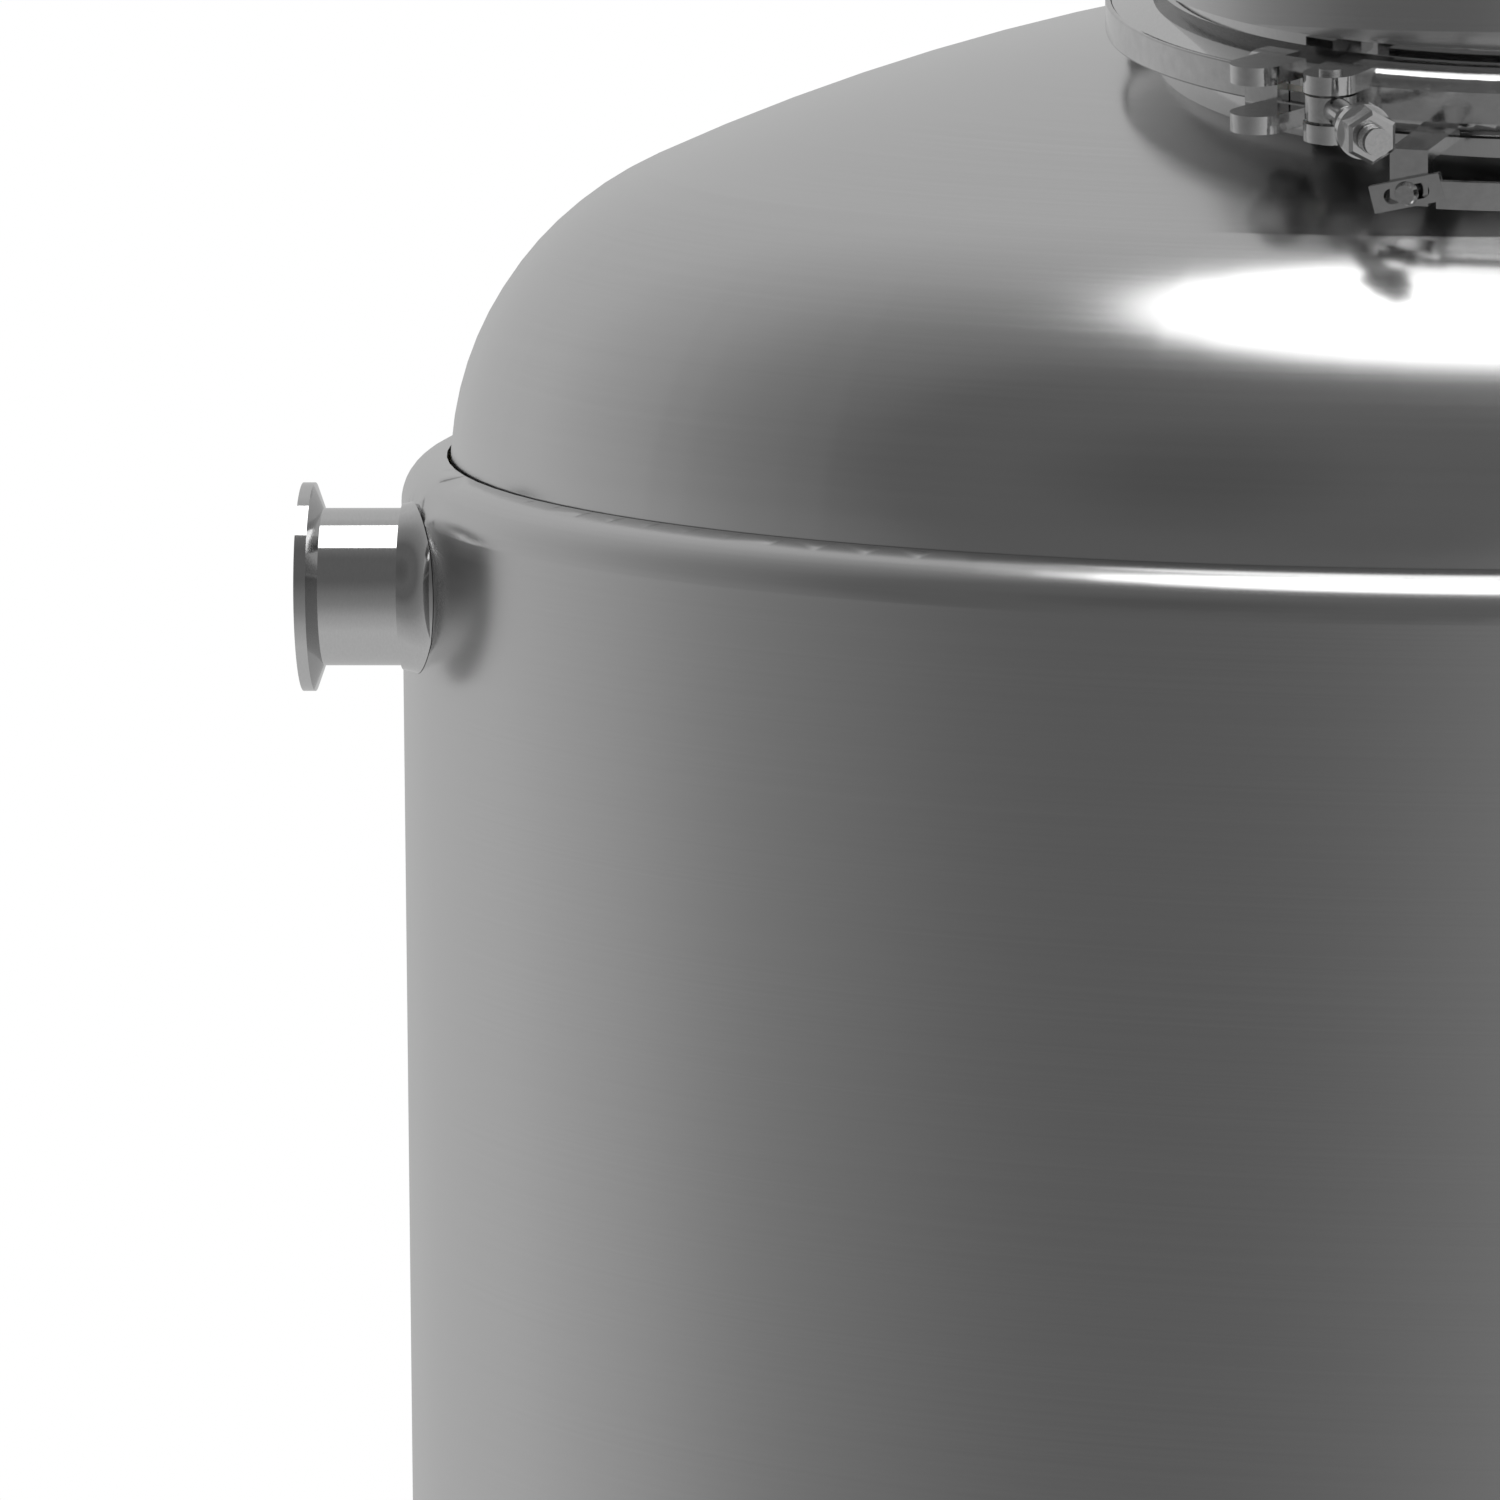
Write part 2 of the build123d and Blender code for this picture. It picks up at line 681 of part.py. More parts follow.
def finish_clamp(pieces, prefix, nut_name="wing_nut"):
    """Write a clamp's six pieces."""
    names = ("front_jaw", "rear_jaw", "hinge_pin", "pivot_pin", "swing_bolt", nut_name)
    for piece, name in zip(pieces, names):
        finish(piece, f"{prefix}_{name}")


# Neck clamp: at rest its swing bolt stands turned out of the fork
neck_clamp = build_clamp(
    neck_plane, tube_8, flange_8, 4.0, (neck_hinge, neck_front_end, neck_rear_end), neck_shank_r, hex_form,
    bolt_turn=neck_bolt_turn, band=neck_band,
)

# Pull strap across the front jaw, screwed to two upturned lugs
neck_sizes, neck_front_jaw = neck_clamp[:2]
strap_angle = 15.5
strap_drop = 10.0
strap_height = 6.4
strap_thickness = 2.0
strap_plate = 17.0
strap_plate_tilt = 14.0
strap_slot = 11.0
strap_screw_r = 1.6
post_width = 9.0
post_depth = 4.0
lug_thickness = 3.0
strap_r = neck_sizes["outer_r"] + 24.0
post_r = strap_r - post_depth
lug_level = -neck_sizes["half"]
strap_level = lug_level - strap_drop


def strap_plane(side, radius, level):
    """Upright plane across a strap post at a level, facing outwards, its local x along the strap."""
    angle = 270 + side * strap_angle
    outward = neck_plane.x_dir * cos(radians(angle)) + neck_plane.y_dir * sin(radians(angle))
    centre = neck_plane.origin + outward * radius + neck_normal * level
    return Plane(origin=centre, x_dir=neck_normal.cross(outward), z_dir=outward)


strap_middle = strap_level + strap_height / 2
post_middle = (strap_level + lug_level + lug_thickness) / 2
strap_lugs = [
    lug(
        neck_plane, lug_level, lug_thickness, neck_sizes["groove_r"] + 1.5,
        post_r, 270 + side * strap_angle, post_width,
    )
    for side in (-1, 1)
]
with BuildPart() as neck_front:
    add(neck_front_jaw.part)
    for form in strap_lugs:
        add(form.part)
    for side in (-1, 1):
        with BuildSketch(strap_plane(side, strap_r, post_middle)):
            Rectangle(post_width + 12, lug_level + lug_thickness - strap_level + 4)
        extrude(amount=post_width, mode=Mode.SUBTRACT)
        with BuildSketch(strap_plane(side, post_r, post_middle)):
            Rectangle(post_width, lug_level + lug_thickness - strap_level)
        extrude(amount=post_depth)
        with BuildSketch(strap_plane(side, post_r, strap_middle)):
            Circle(strap_screw_r)
        extrude(amount=post_depth, mode=Mode.SUBTRACT)

strap_sweep = 2 * strap_angle - degrees(strap_plate * 0.8 / strap_r)
with BuildPart() as neck_strap:
    with BuildSketch(section_plane(neck_plane, 270 - strap_sweep / 2)):
        with Locations((strap_r + strap_thickness / 2, strap_middle)):
            Rectangle(strap_thickness, strap_height)
    revolve(axis=Axis(neck_plane.origin, neck_normal), revolution_arc=strap_sweep)
    for side in (-1, 1):
        plate_turn = (0, 0, -side * strap_plate_tilt)
        with BuildSketch(strap_plane(side, strap_r, strap_middle)):
            with Locations(Location((0, 0, 0), plate_turn)):
                Rectangle(strap_plate, strap_height)
            with Locations(Location((0, 0, 0), plate_turn)):
                SlotOverall(strap_slot, 2 * strap_screw_r + 0.4, mode=Mode.SUBTRACT)
        extrude(amount=strap_thickness)

with BuildPart() as strap_screws:
    for side in (-1, 1):
        with BuildSketch(strap_plane(side, post_r, strap_middle)):
            Circle(strap_screw_r)
        extrude(amount=post_depth + strap_thickness)
        with BuildSketch(strap_plane(side, strap_r + strap_thickness, strap_middle)):
            Circle(strap_screw_r * 1.8)
        extrude(amount=strap_screw_r * 1.1, taper=20)

finish_clamp([neck_front] + list(neck_clamp[2:]), "neck", "hex_nut")
finish(neck_strap, "neck_pull_strap")
finish(strap_screws, "neck_strap_screws")

# ---------------------------------------------------------------- drain
with BuildPart() as drain_ferrule:
    with BuildSketch(section_plane(drain_plane)):
        outline = flange_profile(tube_1_5, flange_1_5, drain_reach + 60)
        Polygon(*[(r, -half_gasket - d) for r, d in outline], align=None)
    revolve(axis=Axis(drain_plane.origin, drain_plane.z_dir))
    crown_centre = bottom_tangent + sqrt(
        (bottom_crown - bottom_knuckle) ** 2 - (shell_r - bottom_knuckle) ** 2
    )
    with Locations((0, 0, crown_centre)):
        Sphere(bottom_crown - shell_wall, mode=Mode.SUBTRACT)
finish(drain_ferrule, "drain_ferrule")
gasket_ring(drain_plane, tube_1_5, flange_1_5, "drain_gasket")

drain_clamp = build_clamp(drain_plane, tube_1_5, flange_1_5, 3.2, (90.0, 284.0, 256.0), 2.6, wing_form)
finish_clamp(drain_clamp[1:], "drain")

# Butterfly valve under the drain
valve_top = drain_plane.origin.Z - half_gasket
valve_centre = valve_top - valve_half - 14.0
valve_bottom = valve_centre - valve_half - 14.0
seat_half = 5.0
seat_bore_r = tube_1_5 / 2 - tube_wall - 0.2
disc_thickness = 4.0
disc_r = sqrt((seat_bore_r - running) ** 2 - (disc_thickness / 2) ** 2)
stem_r = 4.5
valve_plate = 7.0
bolt_circle = 56.0


def valve_body(up, name):
    """Half of the valve body: ferrule, neck and bolted flange."""
    face_z = valve_centre + up * seat_half
    end_z = valve_centre + up * (valve_half + 14.0)
    with BuildPart() as body:
        with BuildSketch(Plane.XZ):
            outline = flange_profile(tube_1_5, flange_1_5, abs(end_z - face_z))
            Polygon(*[(r, end_z - up * d) for r, d in outline], align=None)
        revolve(axis=Axis.Z)
        with BuildSketch(Plane.XY.offset(face_z)):
            Circle(valve_flange_od / 2)
            Circle(tube_1_5 / 2 - 0.5, mode=Mode.SUBTRACT)
            with PolarLocations(bolt_circle / 2, 4, start_angle=45):
                Circle(3.05, mode=Mode.SUBTRACT)
        extrude(amount=up * valve_plate)
        chamfer(body.edges().filter_by(GeomType.CIRCLE).group_by(SortBy.RADIUS)[-1], 1.0)
    finish(body, name)


valve_body(1, "valve_upper_body")
valve_body(-1, "valve_lower_body")

with BuildPart() as valve_seat:
    with BuildSketch(Plane.XY.offset(valve_centre - seat_half)):
        Circle(valve_flange_od / 2 - 16.0)
        Circle(seat_bore_r, mode=Mode.SUBTRACT)
    extrude(amount=2 * seat_half)
    with BuildSketch(Plane.YZ):
        with Locations((0, valve_centre)):
            Circle(stem_r + running)
    extrude(amount=60, both=True, mode=Mode.SUBTRACT)
finish(valve_seat, "valve_seat")

handle_start = valve_flange_od / 2 + 4.0
with BuildPart() as valve_disc:
    with Locations((0, 0, valve_centre)):
        Cylinder(disc_r, disc_thickness)
    with BuildSketch(Plane.YZ.offset(-disc_r - 4)):
        with Locations((0, valve_centre)):
            Circle(stem_r)
    extrude(amount=disc_r + 4 + handle_start + 12)
finish(valve_disc, "valve_disc")

with BuildPart() as valve_handle:
    with BuildSketch(Plane.YZ.offset(handle_start)):
        with Locations((0, valve_centre)):
            Circle(13.0)
            Circle(stem_r + 0.02, mode=Mode.SUBTRACT)
    extrude(amount=12)
    with BuildSketch(Plane.YZ.offset(handle_start + 2)):
        with Locations((-11 - 52, valve_centre)):
            SlotOverall(118, 17)
        with Locations((0, valve_centre)):
            Circle(12.0, mode=Mode.SUBTRACT)
    extrude(amount=7)
finish(valve_handle, "valve_handle")

with BuildPart() as valve_bolts:
    span = seat_half + valve_plate
    with BuildSketch(Plane.XY.offset(valve_centre - span - 5)):
        with PolarLocations(bolt_circle / 2, 4, start_angle=45):
            Circle(3.0)
    extrude(amount=2 * span + 8)
    with BuildSketch(Plane.XY.offset(valve_centre + span)):
        with PolarLocations(bolt_circle / 2, 4, start_angle=45):
            Circle(4.8)
    extrude(amount=5)
    with BuildSketch(Plane.XY.offset(valve_centre - span - 4)):
        with PolarLocations(bolt_circle / 2, 4, start_angle=45):
            RegularPolygon(5.0, 6, major_radius=False)
    extrude(amount=4)
finish(valve_bolts, "valve_bolts")

# ---------------------------------------------------------------- heating element, through the back wall
with BuildPart() as element_ferrule:
    with BuildSketch(section_plane(element_plane)):
        outline = flange_profile(tube_2, flange_2, 34.0 + 40)
        Polygon(*[(r, -half_gasket - d) for r, d in outline], align=None)
    revolve(axis=Axis(element_plane.origin, element_plane.z_dir))
    with Locations((0, 0, element_z)):
        Cylinder(shell_r - shell_wall, 120, mode=Mode.SUBTRACT)
finish(element_ferrule, "element_ferrule")
gasket_ring(element_plane, tube_2, flange_2, "element_gasket")

cap_thickness = 8.0
with BuildPart() as element_cap:
    with BuildSketch(section_plane(element_plane)):
        r_flange = flange_2 / 2
        taper = (r_flange - tube_2 / 2) * tan(radians(back_taper))
        Polygon(
            (0, half_gasket),
            (r_flange, half_gasket),
            (r_flange, half_gasket + rim),
            (tube_2 / 2, half_gasket + rim + taper),
            (tube_2 / 2, half_gasket + rim + taper + cap_thickness),
            (0, half_gasket + rim + taper + cap_thickness),
            align=None,
        )
    revolve(axis=Axis(element_plane.origin, element_plane.z_dir))
    with BuildSketch(element_plane):
        with Locations((-rod_spacing / 2, 0), (rod_spacing / 2, 0)):
            Circle(rod_dia / 2)
    extrude(amount=30, mode=Mode.SUBTRACT)
finish(element_cap, "element_cap")

with BuildPart() as element_rod:
    start_y = element_plane.origin.Y + 8
    tip_y = element_plane.origin.Y - element_reach
    with BuildLine() as rod_path:
        Line((-rod_spacing / 2, start_y, element_z), (-rod_spacing / 2, tip_y, element_z))
        ThreePointArc(
            (-rod_spacing / 2, tip_y, element_z),
            (0, tip_y - rod_spacing / 2, element_z),
            (rod_spacing / 2, tip_y, element_z),
        )
        Line((rod_spacing / 2, tip_y, element_z), (rod_spacing / 2, start_y, element_z))
    with BuildSketch(Plane(origin=(-rod_spacing / 2, start_y, element_z), z_dir=(0, -1, 0))):
        Circle(rod_dia / 2 - 0.02)
    sweep(path=rod_path.wire())
finish(element_rod, "element_rod")

housing_base = half_gasket + rim + taper + cap_thickness
with BuildPart() as element_housing:
    with BuildSketch(element_plane.offset(housing_base)):
        RectangleRounded(72, 72, 12)
    extrude(amount=54)
    fillet(element_housing.faces().sort_by(Axis.Y)[-1].edges(), 5)
    offset(amount=-3.0, openings=element_housing.faces().sort_by(Axis.Y)[0])
    with BuildSketch(Plane.XY.offset(element_z)):
        with Locations((0, element_plane.origin.Y + housing_base + 30)):
            Circle(8.0)
    extrude(amount=-60, mode=Mode.SUBTRACT)
finish(element_housing, "element_housing")

with BuildPart() as element_gland:
    gland_y = element_plane.origin.Y + housing_base + 30
    gland_z = element_z - 36
    with BuildSketch(Plane.XY.offset(gland_z)):
        with Locations((0, gland_y)):
            RegularPolygon(11, 6, major_radius=False)
    extrude(amount=-7)
    with BuildSketch(Plane.XY.offset(gland_z - 7)):
        with Locations((0, gland_y)):
            Circle(9.5)
    extrude(amount=-12, taper=12)
    with BuildSketch(Plane.XY.offset(gland_z)):
        with Locations((0, gland_y)):
            Circle(7.9)
    extrude(amount=9)
    with BuildSketch(Plane.XY.offset(gland_z - 30)):
        with Locations((0, gland_y)):
            Circle(4.5)
    extrude(amount=50, mode=Mode.SUBTRACT)
finish(element_gland, "element_gland")

element_clamp = build_clamp(element_plane, tube_2, flange_2, 3.2, (180.0, 14.0, 346.0), 2.6, wing_form)
finish_clamp(element_clamp[1:], "element")
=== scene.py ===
"""Looks of the jacketed brew kettle: sanitary steel finishes, weld beads, threads and studio."""
import json
import math

import bmesh
import bpy
from mathutils import Matrix, Vector


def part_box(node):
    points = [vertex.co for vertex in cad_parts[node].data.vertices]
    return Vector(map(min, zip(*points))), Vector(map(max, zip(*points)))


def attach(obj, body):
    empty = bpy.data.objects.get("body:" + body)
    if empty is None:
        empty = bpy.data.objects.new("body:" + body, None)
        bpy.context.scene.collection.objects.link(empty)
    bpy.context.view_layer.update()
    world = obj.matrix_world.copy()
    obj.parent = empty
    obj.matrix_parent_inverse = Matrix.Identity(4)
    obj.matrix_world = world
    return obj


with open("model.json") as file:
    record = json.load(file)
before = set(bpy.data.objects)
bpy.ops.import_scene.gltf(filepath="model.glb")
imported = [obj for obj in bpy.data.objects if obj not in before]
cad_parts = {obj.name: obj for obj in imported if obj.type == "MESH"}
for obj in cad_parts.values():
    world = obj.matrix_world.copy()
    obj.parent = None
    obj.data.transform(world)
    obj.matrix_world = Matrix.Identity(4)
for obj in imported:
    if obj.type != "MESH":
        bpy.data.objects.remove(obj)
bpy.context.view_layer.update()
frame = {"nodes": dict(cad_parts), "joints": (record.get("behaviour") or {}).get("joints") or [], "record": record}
record = frame["record"]
nodes = frame["nodes"]
MM = 0.001


# ---------------------------------------------------------------- places read from the frame
joints = {joint["name"]: joint for joint in frame["joints"]}
boxes = {name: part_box(name) for name in nodes}
jacket_low, jacket_high = boxes["jacket"]
seam_z = jacket_high.z
jacket_r = jacket_high.x


# ---------------------------------------------------------------- camera
def aim_camera(distance, height, yaw, pitch, roll, lens):
    """Camera in front of the kettle, at a height above the seam, turned and tipped by small angles."""
    yaw, pitch, roll = (math.radians(angle) for angle in (yaw, pitch, roll))
    ahead = Vector((-math.sin(yaw), math.cos(yaw), 0))
    side = Vector((math.cos(yaw), math.sin(yaw), 0))
    forward = ahead * math.cos(pitch) - Vector((0, 0, math.sin(pitch)))
    above = ahead * math.sin(pitch) + Vector((0, 0, math.cos(pitch)))
    right = side * math.cos(roll) + above * math.sin(roll)
    up = above * math.cos(roll) - side * math.sin(roll)
    data = bpy.data.cameras.new("camera")
    data.lens = lens
    data.sensor_width = 36
    data.clip_start = 0.1
    data.clip_end = 100
    camera = bpy.data.objects.new("camera", data)
    turn = Matrix((right, up, -forward)).transposed()
    camera.matrix_world = Matrix.Translation((0, -distance, seam_z + height)) @ turn.to_4x4()
    bpy.context.scene.collection.objects.link(camera)
    bpy.context.scene.camera = camera


aim_camera(distance=3.0, height=0.3086, yaw=3.861, pitch=7.288, roll=-0.445, lens=294.2)


# ---------------------------------------------------------------- colour and node helpers
def linear(colour):
    """sRGB hex, such as "#8a8b8c", as the linear colour that shaders take."""
    values = [int(colour[i : i + 2], 16) / 255 for i in (1, 3, 5)]
    return (*[v / 12.92 if v <= 0.04045 else ((v + 0.055) / 1.055) ** 2.4 for v in values], 1.0)


def add_node(tree, kind, links=None, inputs=None, **settings):
    """Add a node with its settings, its input values, and links from other sockets into its inputs."""
    node = tree.nodes.new(kind)
    for name, value in settings.items():
        setattr(node, name, value)
    for name, value in (inputs or {}).items():
        node.inputs[name].default_value = value
    for name, socket in (links or {}).items():
        tree.links.new(socket, node.inputs[name])
    return node


def fill_ramp(ramp, stops):
    """Put grey stops, given as (place, brightness), on a colour ramp."""
    elements = ramp.color_ramp.elements
    while len(elements) < len(stops):
        elements.new(0.5)
    for element, (place, grey) in zip(elements, stops):
        element.position = place
        element.color = (grey, grey, grey, 1)


def new_material(name, **settings):
    """Principled material with its uniform values on the shader's own sockets."""
    material = bpy.data.materials.new(name)
    material.use_nodes = True
    tree = material.node_tree
    shader = tree.nodes["Principled BSDF"]
    for socket, value in settings.items():
        shader.inputs[socket.replace("_", " ")].default_value = value
    return material, tree, shader


def finish_surface(tree, shader, height, depth, roughness, spread, tones):
    """Drive a shader's bump, roughness and colour from one height pattern of a depth in metres."""
    bump = add_node(tree, "ShaderNodeBump", {"Height": height}, {"Strength": 1.0, "Distance": depth})
    tree.links.new(bump.outputs["Normal"], shader.inputs["Normal"])
    polish = add_node(
        tree, "ShaderNodeMapRange", {"Value": height},
        {"To Min": roughness - spread, "To Max": roughness + spread},
    )
    tree.links.new(polish.outputs["Result"], shader.inputs["Roughness"])
    colour = add_node(
        tree, "ShaderNodeMix", {0: height}, {6: linear(tones[0]), 7: linear(tones[1])}, data_type="RGBA"
    )
    tree.links.new(colour.outputs[2], shader.inputs["Base Color"])


# ---------------------------------------------------------------- finishes
def satin_cladding():
    """Austenitic stainless sheet, belt-ground round the barrel: soft upright gleam, fine level grain."""
    material, tree, shader = new_material("satin_cladding", Metallic=1.0)
    place = add_node(tree, "ShaderNodeTexCoord")
    grain_width = 0.5 * MM
    across = add_node(
        tree, "ShaderNodeMapping", {"Vector": place.outputs["Object"]}, {"Scale": (6, 6, 1 / grain_width)}
    )
    grain = add_node(
        tree, "ShaderNodeTexNoise", {"Vector": across.outputs[0]},
        {"Scale": 1.0, "Detail": 4.0, "Roughness": 0.6},
    )
    finish_surface(tree, shader, grain.outputs[0], 0.004 * MM, 0.22, 0.03, ("#cacaca", "#d2d2d2"))
    return material


def dished_head():
    """Spun stainless head, fine-ground in rings: smooth broad reflections, faint rings round the crown."""
    material, tree, shader = new_material("dished_head", Metallic=1.0)
    place = add_node(tree, "ShaderNodeTexCoord")
    flat = add_node(
        tree, "ShaderNodeVectorMath", {0: place.outputs["Object"]}, {1: (1, 1, 0)}, operation="MULTIPLY",
    )
    radius = add_node(tree, "ShaderNodeVectorMath", {0: flat.outputs[0]}, operation="LENGTH")
    split = add_node(tree, "ShaderNodeSeparateXYZ", {0: place.outputs["Object"]})
    ring_width = 0.7 * MM
    rings = add_node(
        tree, "ShaderNodeMath", {0: radius.outputs["Value"]}, {1: 1 / ring_width}, operation="MULTIPLY"
    )
    along = add_node(tree, "ShaderNodeMath", {0: split.outputs[0]}, {1: 5.0}, operation="MULTIPLY")
    beside = add_node(tree, "ShaderNodeMath", {0: split.outputs[1]}, {1: 5.0}, operation="MULTIPLY")
    spot = add_node(
        tree, "ShaderNodeCombineXYZ", {0: rings.outputs[0], 1: along.outputs[0], 2: beside.outputs[0]}
    )
    grain = add_node(
        tree, "ShaderNodeTexNoise", {"Vector": spot.outputs[0]},
        {"Scale": 1.0, "Detail": 3.0, "Roughness": 0.5},
    )
    finish_surface(tree, shader, grain.outputs[0], 0.003 * MM, 0.2, 0.03, ("#cacaca", "#d2d2d2"))
    return material


def mirror_ferrule():
    """Bar-turned and buffed stainless: near mirror, with hairlines left by the buffing wheel."""
    material, tree, shader = new_material("mirror_ferrule", Metallic=1.0)
    place = add_node(tree, "ShaderNodeTexCoord")
    hairline = 0.4 * MM
    stretched = add_node(
        tree, "ShaderNodeMapping", {"Vector": place.outputs["Object"]},
        {"Scale": (1 / hairline, 0.15 / hairline, 0.4 / hairline), "Rotation": (0.4, 0.2, 0.7)},
    )
    lines = add_node(
        tree, "ShaderNodeTexNoise", {"Vector": stretched.outputs[0]}, {"Scale": 1.0, "Detail": 2.0}
    )
    finish_surface(tree, shader, lines.outputs[0], 0.002 * MM, 0.07, 0.025, ("#cecece", "#d8d8d8"))
    return material


def investment_cast():
    """Investment-cast stainless, tumbled bright: soft orange peel that makes reflections waver."""
    material, tree, shader = new_material("investment_cast", Metallic=1.0)
    place = add_node(tree, "ShaderNodeTexCoord")
    peel = add_node(
        tree, "ShaderNodeTexNoise", {"Vector": place.outputs["Object"]},
        {"Scale": 1 / (3.0 * MM), "Detail": 3.0},
    )
    finish_surface(tree, shader, peel.outputs[0], 0.05 * MM, 0.13, 0.05, ("#bebebe", "#d2d2d2"))
    return material


def machined_fastener():
    """Turned stainless bar: fine tool rings that catch the light, duller than the buffed fittings."""
    material, tree, shader = new_material("machined_fastener", Metallic=1.0)
    place = add_node(tree, "ShaderNodeTexCoord")
    marks = add_node(
        tree, "ShaderNodeTexNoise", {"Vector": place.outputs["Object"]},
        {"Scale": 1 / (0.8 * MM), "Detail": 2.0, "Roughness": 0.4},
    )
    finish_surface(tree, shader, marks.outputs[0], 0.01 * MM, 0.2, 0.06, ("#b8b8b8", "#cccccc"))
    return material


def linished_tube():
    """Welded stainless leg tube, linished lengthwise: upright grain, duller than the fittings."""
    material, tree, shader = new_material("linished_tube", Metallic=1.0)
    place = add_node(tree, "ShaderNodeTexCoord")
    grain_width = 0.6 * MM
    upright = add_node(
        tree, "ShaderNodeMapping", {"Vector": place.outputs["Object"]},
        {"Scale": (1 / grain_width, 1 / grain_width, 8)},
    )
    grain = add_node(
        tree, "ShaderNodeTexNoise", {"Vector": upright.outputs[0]}, {"Scale": 1.0, "Detail": 3.0}
    )
    finish_surface(tree, shader, grain.outputs[0], 0.008 * MM, 0.32, 0.06, ("#b0b0b0", "#c2c2c2"))
    return material


def needled_wool():
    """Needled mineral wool blanket: dull ochre, matt, with tangled fibres that break up any sheen."""
    material, tree, shader = new_material("needled_wool", IOR=1.5)
    place = add_node(tree, "ShaderNodeTexCoord")
    fibres = add_node(
        tree, "ShaderNodeTexNoise", {"Vector": place.outputs["Object"]},
        {"Scale": 1 / (2.5 * MM), "Detail": 6.0, "Roughness": 0.7, "Distortion": 1.5},
    )
    finish_surface(tree, shader, fibres.outputs[0], 0.9 * MM, 0.9, 0.05, ("#8d8455", "#c3b987"))
    return material


def fired_sheath():
    """Nickel-iron heater sheath, drawn then oxidised in use: matt olive-grey with mottled scale."""
    material, tree, shader = new_material("fired_sheath", Metallic=0.7)
    place = add_node(tree, "ShaderNodeTexCoord")
    scale = add_node(
        tree, "ShaderNodeTexNoise", {"Vector": place.outputs["Object"]},
        {"Scale": 1 / (5.0 * MM), "Detail": 5.0, "Roughness": 0.65},
    )
    finish_surface(tree, shader, scale.outputs[0], 0.03 * MM, 0.5, 0.12, ("#4d4b45", "#77736a"))
    return material


def tig_weld():
    """TIG-run stainless filler, brushed clean: bright ripples, with a trace of straw heat tint."""
    material, tree, shader = new_material("tig_weld", Metallic=1.0)
    place = add_node(tree, "ShaderNodeTexCoord")
    tint = add_node(
        tree, "ShaderNodeTexNoise", {"Vector": place.outputs["Object"]},
        {"Scale": 1 / (6.0 * MM), "Detail": 2.0},
    )
    finish_surface(tree, shader, tint.outputs[0], 0.02 * MM, 0.26, 0.06, ("#b9b4a8", "#c9c9c8"))
    return material


def moulded_rubber():
    """Platinum-cured silicone: milky, waxy, with a soft sheen."""
    material, tree, shader = new_material(
        "moulded_rubber", IOR=1.43, Subsurface_Weight=0.15, Subsurface_Scale=2 * MM,
    )
    place = add_node(tree, "ShaderNodeTexCoord")
    bloom = add_node(
        tree, "ShaderNodeTexNoise", {"Vector": place.outputs["Object"]},
        {"Scale": 1 / (4 * MM), "Detail": 2.0},
    )
    finish_surface(tree, shader, bloom.outputs[0], 0.02 * MM, 0.45, 0.08, ("#b9b7b1", "#cdcbc5"))
    return material


def moulded_cover():
    """Glass-filled nylon, spark-eroded mould texture: black, matt, with a fine pebble."""
    material, tree, shader = new_material("moulded_cover", IOR=1.53)
    place = add_node(tree, "ShaderNodeTexCoord")
    pebble = add_node(
        tree, "ShaderNodeTexNoise", {"Vector": place.outputs["Object"]},
        {"Scale": 1 / (0.9 * MM), "Detail": 2.0},
    )
    finish_surface(tree, shader, pebble.outputs[0], 0.08 * MM, 0.48, 0.08, ("#141416", "#212124"))
    return material


materials = {
    "satin_steel": satin_cladding(),
    "brushed_dome": dished_head(),
    "polished_steel": mirror_ferrule(),
    "cast_steel": investment_cast(),
    "steel_fasteners": machined_fastener(),
    "leg_steel": linished_tube(),
    "silicone": moulded_rubber(),
    "insulation_foam": needled_wool(),
    "element_sheath": fired_sheath(),
    "black_plastic": moulded_cover(),
}
for part in record["subparts"]:
    mesh = nodes[part["node"]].data
    mesh.materials.clear()
    mesh.materials.append(materials[part["material_slot"]])


